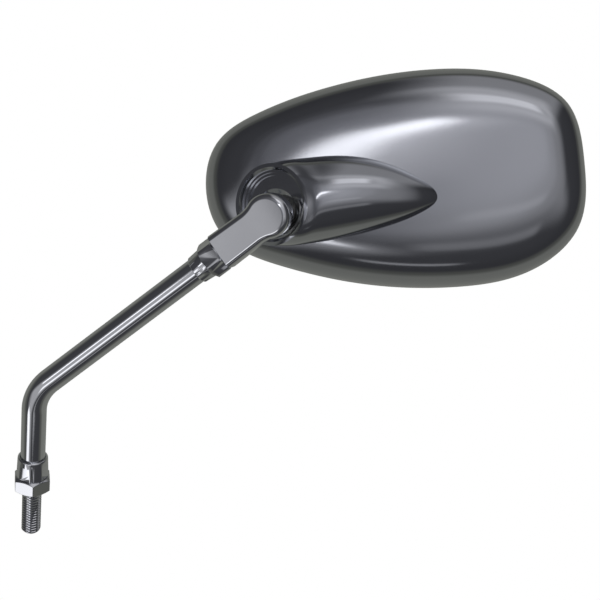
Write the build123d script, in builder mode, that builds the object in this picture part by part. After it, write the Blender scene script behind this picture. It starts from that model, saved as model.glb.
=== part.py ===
"""Motorcycle mirror: a chromed teardrop head on a ball joint, carried by a bent stem with a threaded foot.

Millimetres. +Z runs up the foot's stud, the stem bends in the XZ plane towards +X, and the head's
bright back faces -Y. The origin is on the stud's axis, at the underside of the foot's lock nut.
"""

import os
from math import cos, radians, sin, sqrt, tan

from build123d import *

# Foot of the stem: a turned piece with an M8 stud below and a sleeve above
stud_d = 8.0
stud_length = 22.0
stud_tip_chamfer = 1.2
thread_core_d = 7.2          # pitch diameter, where an engaged thread meets its nut
sleeve_bottom_d = 13.0
sleeve_top_d = 12.3
sleeve_height = 9.2
sleeve_lip_round = 0.7
sleeve_socket_depth = 7.0
sleeve_flat_across = 11.9
sleeve_flat_height = 6.4
sleeve_flat_turn = -25.7

# Hexagon nuts
thread_play = 0.05
foot_nut_across = 14.0
foot_nut_height = 6.4
foot_nut_turn = 38.3
neck_nut_across = 13.0
neck_nut_hex_height = 7.2
neck_nut_skirt_height = 5.3
neck_nut_skirt_d = 11.2
neck_nut_turn = 22.0
nut_chamfer_angle = 30.0
nut_entry_play = 0.3         # countersink at the thread's ends, beyond the stud's radius

# Bent rod
rod_d = 10.0
rod_corner_height = 46.4
rod_bend_angle = 45.0
rod_bend_radius = 20.0
rod_shoulder_run = 85.0      # from the bend's corner to the shoulder under the upper lock nut
rod_tip_length = 24.0
rod_tip_d = 8.0
rod_tip_chamfer = 0.8

# Knuckle, an elbow casting that turns on the rod's threaded tip
knuckle_turn = 27.0          # about the rod, away from the stem's plane
knuckle_length = 23.5        # end face to the centre of the round end
knuckle_end_width = 14.6
knuckle_waist_width = 13.6
knuckle_round_r = 8.6
knuckle_thickness = 12.0
knuckle_top_round = 2.4
knuckle_under_round = 4.2
knuckle_waist_round = 12.0
knuckle_socket_play = 0.5

# Ball stud pressed into the knuckle
ball_d = 14.0
ball_reach = 18.5            # centre of the knuckle's round end to the ball's centre
neck_d = 7.8
neck_top_d = 9.4
neck_flange_d = 13.2
neck_flange_thickness = 1.6
neck_pin_d = 7.0
neck_pin_length = 7.4

# Ball seats, cup, spring and holder plate
ball_play = 0.05
seat_thickness = 1.15
front_seat_open_angle = 60.0
front_seat_end_angle = 86.0
rear_seat_angle = 56.0
cup_wall = 1.4
cup_floor = 1.4
cup_spigot_d = 8.0
cup_spigot_height = 1.0
cup_play = 0.1
socket_wall = 2.0
spring_height = 2.4
spring_thickness = 0.9
spring_d = 17.6
plate_thickness = 1.5
plate_hole_d = 6.0
plate_corner_r = 5.2
holder_screw_circle_r = 14.6
holder_screw_d = 3.0
holder_screw_head_d = 5.6
holder_screw_head_height = 1.4
holder_screw_length = 7.5
boss_r = 3.2

# Head: attitude about the ball and reach of its rim from the ball's centre
head_turn = 5.7
head_lean = 28.0
head_roll = 12.1
reach_outer = 123.0
reach_inner = 30.0
reach_top = 54.0
reach_bottom = 34.6
rim_depth = 21.6             # ball centre to the plane of the shell's edge
crown_height = 25.6
crown_radius = 450.0
crown_pole = (68.0, 13.0)
shoulder_round = 9.0
shell_wall = 2.3
rim_wall = 1.6
rim_pocket_depth = 5.6

# Mouth of the fairing, where the knuckle's neck enters the head
mouth_lean = 29.0
mouth_r = 15.8
mouth_height = 8.5           # ball centre to the mouth's plane
mouth_bore_r = 13.4
mouth_bore_depth = 3.2
mouth_rim_chamfer = 1.0
mouth_steps = 2
mouth_step_width = 1.1
mouth_step_height = 0.7

# Mirror glass and what holds it
glass_radius = 1400.0
glass_thickness = 2.0
glass_edge_depth = 1.6       # rim plane to the glass's face at its farthest edge
glass_edge_play = 0.1
gasket_wall = 1.6
gasket_lip = 2.4
gasket_lip_thickness = 0.9
pad_inset = 9.0
backing_inset = 4.4
backing_thickness = 1.5
backing_screw_d = 3.0
backing_screw_head_d = 5.6
backing_screw_length = 8.0
backing_screw_places = [(34, 34), (96, 27), (96, -17), (40, -19)]

# Directions and planes worked out from the sizes
rod_dir = Vector(sin(radians(rod_bend_angle)), 0, cos(radians(rod_bend_angle)))
rod_side = Vector(-rod_dir.Z, 0, rod_dir.X)
rod_corner = Vector(0, 0, rod_corner_height)
neck_dir = rod_side * sin(radians(knuckle_turn)) - Vector(0, 1, 0) * cos(radians(knuckle_turn))
neck_nut_height = neck_nut_hex_height + neck_nut_skirt_height
knuckle_face_run = rod_shoulder_run + neck_nut_height
knuckle_centre = rod_corner + rod_dir * (knuckle_face_run + knuckle_length)
ball_centre = knuckle_centre - neck_dir * ball_reach

KNUCKLE = Plane(origin=knuckle_centre, x_dir=rod_dir, z_dir=neck_dir)
ROD_SHOULDER = Plane(origin=rod_corner + rod_dir * rod_shoulder_run, x_dir=neck_dir, z_dir=rod_dir)
NECK_SECTION = Plane(origin=ball_centre, x_dir=rod_dir, z_dir=rod_dir.cross(neck_dir))
NECK_AXIS = Axis(ball_centre, neck_dir)

lean = radians(head_lean)
turn = radians(head_turn)
head_out = Vector(-sin(turn) * cos(lean), -cos(turn) * cos(lean), sin(lean))
head_along = Vector(cos(turn), -sin(turn), 0).rotate(Axis((0, 0, 0), head_out), head_roll)
HEAD = Plane(origin=ball_centre, x_dir=head_along, z_dir=head_out)
HEAD_SECTION = Plane(origin=ball_centre, x_dir=HEAD.x_dir, z_dir=HEAD.x_dir.cross(HEAD.z_dir))
HEAD_AXIS = Axis(ball_centre, HEAD.z_dir)
RIM = HEAD.offset(-rim_depth)

mouth_sin = sin(radians(mouth_lean))
mouth_cos = cos(radians(mouth_lean))
mouth_dir = HEAD.z_dir * mouth_cos - HEAD.x_dir * mouth_sin
MOUTH = Plane(origin=ball_centre + mouth_dir * mouth_height, x_dir=HEAD.y_dir, z_dir=mouth_dir)
MOUTH_SECTION = Plane(origin=ball_centre, x_dir=HEAD.y_dir, z_dir=HEAD.y_dir.cross(mouth_dir))
MOUTH_AXIS = Axis(ball_centre, mouth_dir)

# Stack behind the ball, measured along the head's depth from the ball's centre
ball_r = ball_d / 2
seat_inner_r = ball_r + ball_play
seat_outer_r = seat_inner_r + seat_thickness
socket_r = seat_outer_r + ball_play
cup_r = socket_r + cup_wall
guide_r = cup_r + cup_play
guide_outer_r = guide_r + socket_wall
cup_top = -(seat_outer_r * cos(radians(rear_seat_angle)) + ball_play)
cup_bottom = -(socket_r + cup_floor)
guide_bottom = cup_bottom + cup_floor / 2
plate_top = cup_bottom - spring_height
plate_bottom = plate_top - plate_thickness

os.makedirs("parts", exist_ok=True)


def save(builder, name):
    """Label a finished piece and write it to its own file."""
    builder.part.label = name
    export_step(builder.part, f"parts/{name}.step")


def chamfered_hexagon(plane, across, height, turn_angle):
    """Nut blank on a plane: a hexagon whose corners are turned off at both ends."""
    corner_r = across / sqrt(3)
    drop = (corner_r - across / 2) * tan(radians(nut_chamfer_angle))
    with BuildPart() as blank:
        with BuildSketch(plane):
            RegularPolygon(across / 2, 6, major_radius=False, rotation=turn_angle)
        extrude(amount=height)
        with BuildSketch(Plane(plane.origin, x_dir=plane.x_dir, z_dir=plane.x_dir.cross(plane.z_dir))):
            with BuildLine():
                Polyline((0, 0), (across / 2, 0), (corner_r, drop), (corner_r, height - drop),
                         (across / 2, height), (0, height), close=True)
            make_face()
        revolve(axis=Axis(plane.origin, plane.z_dir), mode=Mode.INTERSECT)
    return blank.part


# Stem foot
sleeve_bottom = foot_nut_height
sleeve_top = sleeve_bottom + sleeve_height
socket_floor = sleeve_top - sleeve_socket_depth
stud_tip = -stud_length
with BuildPart() as stem_foot:
    with BuildSketch(Plane.XZ):
        with BuildLine():
            Polyline(
                (0, stud_tip),
                (stud_d / 2 - stud_tip_chamfer, stud_tip),
                (stud_d / 2, stud_tip + stud_tip_chamfer),
                (stud_d / 2, 0),
                (thread_core_d / 2, 0),
                (thread_core_d / 2, sleeve_bottom),
                (sleeve_bottom_d / 2, sleeve_bottom),
                (sleeve_top_d / 2, sleeve_top),
                (rod_d / 2 + thread_play, sleeve_top),
                (rod_d / 2 + thread_play, socket_floor),
                (0, socket_floor),
                close=True,
            )
        make_face()
    revolve(axis=Axis.Z)
    lip = stem_foot.faces().sort_by(Axis.Z)[-1]
    fillet(lip.edges().sort_by(SortBy.RADIUS)[-1], sleeve_lip_round)
    with BuildSketch(Plane.XY.offset(sleeve_bottom)):
        with PolarLocations(sleeve_flat_across, 4, start_angle=sleeve_flat_turn):
            Rectangle(sleeve_flat_across, sleeve_bottom_d)
    extrude(amount=sleeve_flat_height, mode=Mode.SUBTRACT)
save(stem_foot, "stem_foot")

# Lock nut on the stud
with BuildPart() as foot_lock_nut:
    add(chamfered_hexagon(Plane.XY, foot_nut_across, foot_nut_height, foot_nut_turn))
    with BuildSketch(Plane.XY):
        Circle(thread_core_d / 2 + thread_play)
    extrude(amount=foot_nut_height, mode=Mode.SUBTRACT)
    thread_ends = foot_lock_nut.faces().filter_by(GeomType.CYLINDER).sort_by(SortBy.AREA)[-1].edges()
    entry_depth = (stud_d - thread_core_d) / 2 - thread_play + nut_entry_play
    chamfer(thread_ends.filter_by(GeomType.CIRCLE), entry_depth)
save(foot_lock_nut, "foot_lock_nut")

# Rod with one bend and a threaded tip
with BuildPart() as stem_rod:
    with BuildLine():
        FilletPolyline(
            (0, 0, socket_floor),
            rod_corner,
            rod_corner + rod_dir * rod_shoulder_run,
            radius=rod_bend_radius,
        )
    with BuildSketch(Plane.XY.offset(socket_floor)):
        Circle(rod_d / 2)
    sweep()
    with BuildSketch(ROD_SHOULDER):
        Circle(rod_tip_d / 2)
    extrude(amount=rod_tip_length)
    tip_edge = stem_rod.edges().filter_by(GeomType.CIRCLE).sort_by(Axis(rod_corner, rod_dir))[-1]
    chamfer(tip_edge, rod_tip_chamfer)
save(stem_rod, "stem_rod")

# Upper lock nut: a hexagon with a conical skirt that covers the rod's shoulder
with BuildPart() as knuckle_lock_nut:
    skirt_top_d = neck_nut_across - thread_play
    with BuildSketch(ROD_SHOULDER):
        Circle(neck_nut_skirt_d / 2)
    with BuildSketch(ROD_SHOULDER.offset(neck_nut_skirt_height)):
        Circle(skirt_top_d / 2)
    loft()
    HEXAGON = ROD_SHOULDER.offset(neck_nut_skirt_height)
    add(chamfered_hexagon(HEXAGON, neck_nut_across, neck_nut_hex_height, neck_nut_turn))
    with BuildSketch(ROD_SHOULDER):
        Circle(rod_tip_d / 2 + thread_play)
    extrude(amount=neck_nut_height, mode=Mode.SUBTRACT)
save(knuckle_lock_nut, "knuckle_lock_nut")

# Knuckle
with BuildPart() as knuckle:
    with BuildSketch(KNUCKLE) as knuckle_plan:
        Polygon(
            (-knuckle_length, -knuckle_end_width / 2),
            (0, -knuckle_waist_width / 2),
            (0, knuckle_waist_width / 2),
            (-knuckle_length, knuckle_end_width / 2),
            align=None,
        )
        Circle(knuckle_round_r)
        waist_corners = knuckle_plan.vertices().sort_by(Axis.X)[2:4]
        fillet(waist_corners, knuckle_waist_round)
    extrude(amount=knuckle_thickness / 2, both=True)
    for side, edge_round in ((0, knuckle_under_round), (-1, knuckle_top_round)):
        end_face = knuckle.faces().sort_by(Axis(knuckle_centre, rod_dir))[0]
        broad_face = knuckle.faces().filter_by(KNUCKLE).sort_by(Axis(knuckle_centre, neck_dir))[side]
        fillet(broad_face.edges() - end_face.edges(), edge_round)
    with BuildSketch(Plane(knuckle_centre - rod_dir * knuckle_length, x_dir=neck_dir, z_dir=rod_dir)):
        Circle(rod_tip_d / 2 + thread_play)
    extrude(amount=rod_tip_length - neck_nut_height + knuckle_socket_play, mode=Mode.SUBTRACT)
    with BuildSketch(KNUCKLE.offset(-knuckle_thickness / 2)):
        Circle(neck_pin_d / 2)
    extrude(amount=neck_pin_length, mode=Mode.SUBTRACT)
save(knuckle, "knuckle")

# Ball stud
knuckle_underside = ball_reach - knuckle_thickness / 2
neck_start = sqrt(ball_r**2 - (neck_d / 2) ** 2)
flange_bottom = knuckle_underside - neck_flange_thickness
with BuildPart() as ball_stud:
    with BuildSketch(NECK_SECTION):
        with BuildLine():
            ThreePointArc((0, -ball_r), (ball_r, 0), (neck_d / 2, neck_start))
            Polyline(
                (neck_d / 2, neck_start),
                (neck_top_d / 2, flange_bottom),
                (neck_flange_d / 2, flange_bottom),
                (neck_flange_d / 2, knuckle_underside),
                (neck_pin_d / 2, knuckle_underside),
                (neck_pin_d / 2, knuckle_underside + neck_pin_length),
                (0, knuckle_underside + neck_pin_length),
                (0, -ball_r),
            )
        make_face()
    revolve(axis=NECK_AXIS)
save(ball_stud, "ball_stud")

# Front ball seat: a spherical ring about the mouth's axis
with BuildPart() as front_ball_seat:
    with BuildSketch(MOUTH_SECTION):
        with BuildLine():
            seat_start = 90 - front_seat_end_angle
            seat_sweep = front_seat_end_angle - front_seat_open_angle
            inner = CenterArc((0, 0), seat_inner_r, seat_start, seat_sweep)
            outer = CenterArc((0, 0), seat_outer_r, seat_start, seat_sweep)
            Line(inner @ 0, outer @ 0)
            Line(inner @ 1, outer @ 1)
        make_face()
    revolve(axis=MOUTH_AXIS)
save(front_ball_seat, "front_ball_seat")

# Rear ball seat: a spherical cap about the head's depth axis
with BuildPart() as rear_ball_seat:
    with BuildSketch(HEAD_SECTION):
        with BuildLine():
            inner = CenterArc((0, 0), seat_inner_r, -90, rear_seat_angle)
            outer = CenterArc((0, 0), seat_outer_r, -90, rear_seat_angle)
            Line(inner @ 0, outer @ 0)
            Line(inner @ 1, outer @ 1)
        make_face()
    revolve(axis=HEAD_AXIS)
save(rear_ball_seat, "rear_ball_seat")

# Ball cup with a spigot for the spring
cup_lip_r = sqrt(socket_r**2 - cup_top**2)
with BuildPart() as ball_cup:
    with BuildSketch(HEAD_SECTION):
        with BuildLine():
            bowl_mid = radians(rear_seat_angle / 2)
            bowl_middle = (socket_r * sin(bowl_mid), -socket_r * cos(bowl_mid))
            ThreePointArc((0, -socket_r), bowl_middle, (cup_lip_r, cup_top))
            Polyline(
                (cup_lip_r, cup_top),
                (cup_r, cup_top),
                (cup_r, cup_bottom),
                (cup_spigot_d / 2, cup_bottom),
                (cup_spigot_d / 2, cup_bottom - cup_spigot_height),
                (0, cup_bottom - cup_spigot_height),
                (0, -socket_r),
            )
        make_face()
    revolve(axis=HEAD_AXIS)
save(ball_cup, "ball_cup")

# Disc spring between the cup and the holder plate
spring_inner_r = cup_spigot_d / 2 + cup_play
with BuildPart() as cup_spring:
    with BuildSketch(HEAD_SECTION):
        with BuildLine():
            Polyline(
                (spring_inner_r, cup_bottom),
                (spring_d / 2, plate_top + spring_thickness),
                (spring_d / 2, plate_top),
                (spring_inner_r, cup_bottom - spring_thickness),
                close=True,
            )
        make_face()
    revolve(axis=HEAD_AXIS)
save(cup_spring, "cup_spring")

# Holder plate that closes the socket
with BuildPart() as holder_plate:
    with BuildSketch(HEAD.offset(plate_bottom)):
        with PolarLocations(holder_screw_circle_r, 3, start_angle=60):
            Circle(plate_corner_r)
        make_hull()
        Circle(plate_hole_d / 2, mode=Mode.SUBTRACT)
        with PolarLocations(holder_screw_circle_r, 3, start_angle=60):
            Circle(holder_screw_d / 2 + cup_play, mode=Mode.SUBTRACT)
    extrude(amount=plate_thickness)
save(holder_plate, "holder_plate")

with BuildPart() as holder_screws:
    with BuildSketch(HEAD.offset(plate_bottom)):
        with PolarLocations(holder_screw_circle_r, 3, start_angle=60):
            Circle(holder_screw_head_d / 2)
    extrude(amount=-holder_screw_head_height)
    with BuildSketch(HEAD.offset(plate_bottom)):
        with PolarLocations(holder_screw_circle_r, 3, start_angle=60):
            Circle(holder_screw_d / 2)
    extrude(amount=holder_screw_length)
save(holder_screws, "holder_screws")

# Rim outline: an egg that is broad at its outer end, seen from the bright back
with BuildLine() as rim_line:
    Spline(
        (reach_outer, 0.19 * reach_top),
        (0.95 * reach_outer, 0.67 * reach_top),
        (0.80 * reach_outer, 0.89 * reach_top),
        (0.52 * reach_outer, reach_top),
        (0.165 * reach_outer, 0.925 * reach_top),
        (-0.25 * reach_inner, 0.77 * reach_top),
        (-0.80 * reach_inner, 0.585 * reach_top),
        (-reach_inner, 0.28 * reach_top),
        (-0.78 * reach_inner, -0.15 * reach_bottom),
        (-0.10 * reach_inner, -0.57 * reach_bottom),
        (0.26 * reach_outer, -0.88 * reach_bottom),
        (0.555 * reach_outer, -reach_bottom),
        (0.815 * reach_outer, -0.86 * reach_bottom),
        (0.945 * reach_outer, -0.465 * reach_bottom),
        periodic=True,
    )
rim_edge = rim_line.edge()
outline_steps = 28
pole = Vector(*crown_pole)


def outline(shrink, inset):
    """Points round the rim, drawn in by an inset and shrunk about the crown's pole."""
    points = []
    for step in range(outline_steps):
        along = rim_edge.tangent_at(step / outline_steps)
        inward = Vector(-along.Y, along.X)
        place = rim_edge.position_at(step / outline_steps) + inward * inset
        points.append(pole + (place - pole) * shrink)
    return points


def rim_prism(inset, low, high):
    """Upright solid between two levels above the rim plane, with the rim's outline drawn in."""
    with BuildPart() as prism:
        with BuildSketch(RIM.offset(low)):
            with BuildLine():
                Spline(*outline(1.0, inset), periodic=True)
            make_face()
        extrude(amount=high - low)
    return prism.part


# Side wall of the dome: height above the rim and how far the outline has shrunk there
wall_profile = [(0, 1.0), (0.2, 0.992), (0.4, 0.966), (0.58, 0.922), (1.2, 0.68)]


def dome(inset):
    """Teardrop dome: a lofted side wall, a spherical crown and a rounded shoulder between them."""
    with BuildPart() as form:
        for share, shrink in wall_profile:
            with BuildSketch(RIM.offset(share * crown_height)):
                with BuildLine():
                    Spline(*outline(shrink, inset), periodic=True)
                make_face()
        loft()
        crown_centre = RIM.from_local_coords((pole.X, pole.Y, crown_height - crown_radius))
        with Locations(crown_centre):
            Sphere(crown_radius - inset, mode=Mode.INTERSECT)
        crown = form.faces().filter_by(GeomType.SPHERE)
        fillet(crown.edges(), shoulder_round - inset)
    return form.part


# Fairing round the mouth: round sections given by crest and keel in the head's mid-plane
crest_x = mouth_r * mouth_cos - mouth_height * mouth_sin
crest_z = mouth_r * mouth_sin + mouth_height * mouth_cos
keel_x = -mouth_r * mouth_cos - mouth_height * mouth_sin
keel_z = -mouth_r * mouth_sin + mouth_height * mouth_cos
fairing_sections = [
    ((crest_x, crest_z), (keel_x, keel_z)),
    ((crest_x + 3.0, crest_z + 0.8), (keel_x + 9.0, keel_z - 8.8)),
    ((crest_x + 6.6, crest_z + 1.0), (keel_x + 22.5, keel_z - 14.6)),
    ((crest_x + 25.3, crest_z - 1.2), (crest_x + 25.3, crest_z - 29.2)),
    ((crest_x + 39.9, crest_z - 6.0), (crest_x + 39.9, crest_z - 24.2)),
    ((crest_x + 49.6, crest_z - 11.4), (crest_x + 49.6, crest_z - 19.6)),
    ((crest_x + 53.5, crest_z - 14.8), (crest_x + 53.5, crest_z - 18.8)),
]


def fairing(sections, inset):
    """Comet-shaped fairing lofted through round sections."""
    with BuildPart() as form:
        for crest, keel in sections:
            top = HEAD.from_local_coords((crest[0], 0, crest[1]))
            bottom = HEAD.from_local_coords((keel[0], 0, keel[1]))
            normal = (top - bottom).cross(HEAD.y_dir)
            with BuildSketch(Plane((top + bottom) / 2, x_dir=HEAD.y_dir, z_dir=normal)):
                Circle((top - bottom).length / 2 - inset)
        loft()
    return form.part


# Glass, pad and backing plate follow spheres about one centre
glass_inset = rim_wall + gasket_wall
glass_middle = ((reach_outer - reach_inner) / 2, (reach_top - reach_bottom) / 2)
glass_half_length = (reach_outer + reach_inner) / 2 - glass_inset
glass_sag = glass_half_length**2 / (2 * glass_radius)
glass_face_depth = glass_edge_depth - glass_sag
glass_centre = RIM.from_local_coords((*glass_middle, glass_face_depth + glass_radius))
pad_outer_r = glass_radius - glass_thickness
backing_outer_r = pad_outer_r - gasket_lip_thickness
backing_inner_r = backing_outer_r - backing_thickness
band_low = glass_face_depth - 2 * gasket_lip_thickness
band_high = rim_pocket_depth + backing_thickness


def bowed_plate(inset, outer_radius, inner_radius):
    """Plate with the rim's outline, bowed between two spheres about the glass's centre."""
    with BuildPart() as plate:
        add(rim_prism(inset, band_low, band_high))
        with Locations(glass_centre):
            Sphere(outer_radius, mode=Mode.INTERSECT)
            Sphere(inner_radius, mode=Mode.SUBTRACT)
    return plate.part


def backing_depth(x, y, radius):
    """Depth of a glass-centred sphere above the rim plane at a place on the head."""
    run = (x - glass_middle[0]) ** 2 + (y - glass_middle[1]) ** 2
    return glass_face_depth + glass_radius - sqrt(radius**2 - run)


# Housing shell
bore_floor = mouth_height - mouth_bore_depth
neck_hole_r = bore_floor * tan(radians(front_seat_open_angle))
with BuildPart() as outer_form:
    add(dome(0))
    add(fairing(fairing_sections, 0))

with BuildPart() as cavity:
    add(dome(shell_wall))
    add(fairing(fairing_sections[2:5], shell_wall))
    add(rim_prism(rim_wall, 0, rim_pocket_depth))

with BuildPart() as inner_posts:
    with BuildSketch(HEAD.offset(guide_bottom)):
        Circle(guide_outer_r)
    extrude(amount=-guide_bottom)
    with BuildSketch(HEAD.offset(plate_top)):
        with PolarLocations(holder_screw_circle_r, 3, start_angle=60):
            Circle(boss_r)
    extrude(amount=-plate_top)
    with BuildSketch(RIM.offset(band_low)):
        with Locations(*backing_screw_places):
            Circle(boss_r)
    extrude(amount=crown_height - band_low)
    add(outer_form.part, mode=Mode.INTERSECT)
    with Locations(glass_centre):
        Sphere(backing_inner_r - cup_play, mode=Mode.INTERSECT)

with BuildPart() as housing_shell:
    add(outer_form.part)
    add(cavity.part, mode=Mode.SUBTRACT)
    add(inner_posts.part)
    with BuildSketch(MOUTH_SECTION):
        with BuildLine():
            stairs = [(0, 0), (neck_hole_r, bore_floor)]
            for step in range(mouth_steps):
                tread_r = mouth_bore_r - (mouth_steps - step) * mouth_step_width
                stairs.append((tread_r, bore_floor + step * mouth_step_height))
                stairs.append((tread_r, bore_floor + (step + 1) * mouth_step_height))
            Polyline(
                *stairs,
                (mouth_bore_r, bore_floor + mouth_steps * mouth_step_height),
                (mouth_bore_r, mouth_height - mouth_rim_chamfer),
                (mouth_bore_r + mouth_rim_chamfer, mouth_height),
                (0, mouth_height),
                close=True,
            )
        make_face()
    revolve(axis=MOUTH_AXIS, mode=Mode.SUBTRACT)
    with Locations(ball_centre):
        Sphere(socket_r, mode=Mode.SUBTRACT)
    with BuildSketch(HEAD.offset(cup_top + ball_play)):
        Circle(guide_r)
    extrude(amount=-(cup_top - plate_top), mode=Mode.SUBTRACT)
    with BuildSketch(HEAD.offset(plate_top)):
        with PolarLocations(holder_screw_circle_r, 3, start_angle=60):
            Circle(holder_screw_d / 2 + thread_play)
    extrude(amount=holder_screw_length - plate_thickness + thread_play, mode=Mode.SUBTRACT)
    for x, y in backing_screw_places:
        boss_start = backing_depth(x, y, backing_inner_r)
        with BuildSketch(RIM.offset(boss_start)):
            with Locations((x, y)):
                Circle(backing_screw_d / 2 + thread_play)
        extrude(amount=backing_screw_length - backing_thickness + thread_play, mode=Mode.SUBTRACT)
save(housing_shell, "housing_shell")

# Mirror glass, its foam pad, the gasket round its edge and the backing plate
with BuildPart() as mirror_glass:
    add(bowed_plate(glass_inset, glass_radius, pad_outer_r))
save(mirror_glass, "mirror_glass")

with BuildPart() as backing_pad:
    add(bowed_plate(pad_inset, pad_outer_r, backing_outer_r))
save(backing_pad, "backing_pad")

with BuildPart() as rim_gasket:
    add(bowed_plate(rim_wall + glass_edge_play, glass_radius + gasket_lip_thickness, backing_outer_r))
    add(bowed_plate(glass_inset - glass_edge_play, glass_radius, pad_outer_r), mode=Mode.SUBTRACT)
    add(rim_prism(glass_inset + gasket_lip, band_low, band_high), mode=Mode.SUBTRACT)
save(rim_gasket, "rim_gasket")

with BuildPart() as backing_plate:
    add(bowed_plate(backing_inset, backing_outer_r, backing_inner_r))
    for x, y in backing_screw_places:
        with BuildSketch(RIM.offset(band_low)):
            with Locations((x, y)):
                Circle(backing_screw_head_d / 2 + cup_play)
        extrude(amount=band_high - band_low, mode=Mode.SUBTRACT)
save(backing_plate, "backing_plate")

with BuildPart() as backing_screws:
    for x, y in backing_screw_places:
        head_start = backing_depth(x, y, backing_outer_r)
        boss_start = backing_depth(x, y, backing_inner_r)
        with BuildSketch(RIM.offset(head_start + cup_play)):
            with Locations((x, y)):
                Circle(backing_screw_head_d / 2)
        extrude(amount=boss_start - head_start - cup_play)
        with BuildSketch(RIM.offset(boss_start)):
            with Locations((x, y)):
                Circle(backing_screw_d / 2)
        extrude(amount=backing_screw_length - backing_thickness)
save(backing_screws, "backing_screws")
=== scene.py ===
# %% [markdown]
# # A chromed motorcycle mirror
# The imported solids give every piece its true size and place. This lesson dresses them: each piece that the
# eye meets is modelled again with smooth faces, because polished metal shows every facet, and the pieces
# inside the head keep their solids. The pieces are modelled in millimetres and brought to metres when they
# are settled; the studio round them is in metres.

from math import acos, atan2, cos, pi, radians, sin, sqrt, tan

import bpy
import numpy as np
from mathutils import Matrix, Vector


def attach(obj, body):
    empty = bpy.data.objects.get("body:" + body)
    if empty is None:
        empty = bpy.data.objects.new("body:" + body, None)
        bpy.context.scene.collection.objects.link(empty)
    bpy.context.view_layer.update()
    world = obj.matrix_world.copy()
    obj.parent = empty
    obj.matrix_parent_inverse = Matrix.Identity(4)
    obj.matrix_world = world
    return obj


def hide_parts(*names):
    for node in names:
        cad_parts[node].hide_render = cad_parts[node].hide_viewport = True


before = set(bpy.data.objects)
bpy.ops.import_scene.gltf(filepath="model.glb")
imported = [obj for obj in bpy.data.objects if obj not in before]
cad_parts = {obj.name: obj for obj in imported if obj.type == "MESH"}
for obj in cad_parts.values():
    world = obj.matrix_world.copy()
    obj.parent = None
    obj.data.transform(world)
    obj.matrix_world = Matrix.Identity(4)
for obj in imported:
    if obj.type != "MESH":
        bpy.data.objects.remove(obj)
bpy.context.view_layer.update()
print("nodes:", len(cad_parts))

# %% [markdown]
# ## Where the pieces stand
# The stem leaves the foot upright, bends once and carries the knuckle. The knuckle's neck ends in a ball,
# and the head sits on that ball. Each piece is easiest to model upright at the origin, so the places below
# say where its own upright goes: an origin and two directions are enough to set a piece down.

# %% Places of the pieces
rod_corner_height = 46.4
rod_bend_angle = 45.0
rod_shoulder_run = 85.0
neck_nut_hex = 7.2
skirt_height = 5.3
knuckle_turn = 27.0
knuckle_length = 23.5
ball_reach = 18.5
head_turn = 5.7
head_lean = 28.0
head_roll = 12.1
rim_depth = 21.6
mouth_lean = 29.0


def place_of(origin, upright, sideways):
    """Matrix that stands a piece's Z along upright and its X along sideways."""
    z = upright.normalized()
    x = (sideways - z * sideways.dot(z)).normalized()
    place = Matrix((x, z.cross(x), z)).transposed().to_4x4()
    place.translation = origin
    return place


rod_dir = Vector((sin(radians(rod_bend_angle)), 0, cos(radians(rod_bend_angle))))
rod_side = Vector((-rod_dir.z, 0, rod_dir.x))
rod_corner = Vector((0, 0, rod_corner_height))
shoulder = rod_corner + rod_dir * rod_shoulder_run
neck_dir = rod_side * sin(radians(knuckle_turn)) - Vector((0, 1, 0)) * cos(radians(knuckle_turn))
neck_nut_height = neck_nut_hex + skirt_height
knuckle_centre = rod_corner + rod_dir * (rod_shoulder_run + neck_nut_height + knuckle_length)
ball_centre = knuckle_centre - neck_dir * ball_reach

lean, turn = radians(head_lean), radians(head_turn)
head_out = Vector((-sin(turn) * cos(lean), -cos(turn) * cos(lean), sin(lean)))
level = Vector((cos(turn), -sin(turn), 0))
head_along = Matrix.Rotation(radians(head_roll), 3, head_out) @ level
mouth_dir = head_out * cos(radians(mouth_lean)) - head_along * sin(radians(mouth_lean))

at_foot = Matrix.Identity(4)
at_shoulder = place_of(shoulder, rod_dir, neck_dir)
at_knuckle = place_of(knuckle_centre, neck_dir, rod_dir)
at_neck = place_of(ball_centre, neck_dir, rod_dir)
at_rim = place_of(ball_centre - head_out * rim_depth, head_out, head_along)
at_mouth = place_of(ball_centre, mouth_dir, head_along)
print("ball centre:", [round(c, 2) for c in ball_centre])

# %% [markdown]
# ## A small tool box
# A few habits return with every piece: add a primitive with nothing else selected, go into its mesh and out
# again, settle it in its place, cut or join two pieces, round the real edges and shade the rest smooth.
# Each is a short function, so that the steps below read as the piece is made.


# %% Tool box
weld_distance = 0.0005
cutter_play = 0.02
overcut = 1.0


def pick(piece):
    """Select one piece alone and make it active."""
    bpy.ops.object.select_all(action="DESELECT")
    piece.select_set(True)
    bpy.context.view_layer.objects.active = piece


def fresh(name, add, **size):
    """Add a primitive with nothing else selected, and name it."""
    bpy.ops.object.select_all(action="DESELECT")
    add(**size)
    piece = bpy.context.object
    piece.name = name
    return piece


def open_mesh(piece):
    """Go into a piece's mesh with all of it selected."""
    pick(piece)
    bpy.ops.object.mode_set(mode="EDIT")
    bpy.ops.mesh.select_all(action="SELECT")


def close_mesh(weld=False):
    """Turn all faces outwards and leave the mesh; a weld joins the points along a seam first."""
    bpy.ops.mesh.select_all(action="SELECT")
    if weld:
        bpy.ops.mesh.remove_doubles(threshold=weld_distance)
    bpy.ops.mesh.normals_make_consistent(inside=False)
    bpy.ops.object.mode_set(mode="OBJECT")


def extrude(step):
    """Extrude what is selected by one step."""
    bpy.ops.mesh.extrude_region_move(TRANSFORM_OT_translate={"value": step})


def pick_open_edges():
    """Select only the edges at which a mesh is open."""
    bpy.ops.mesh.select_all(action="DESELECT")
    bpy.ops.mesh.select_non_manifold()


def fix_place(piece):
    """Write a piece's place, turn and size into its mesh."""
    pick(piece)
    bpy.ops.object.transform_apply(location=True, rotation=True, scale=True)


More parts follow.
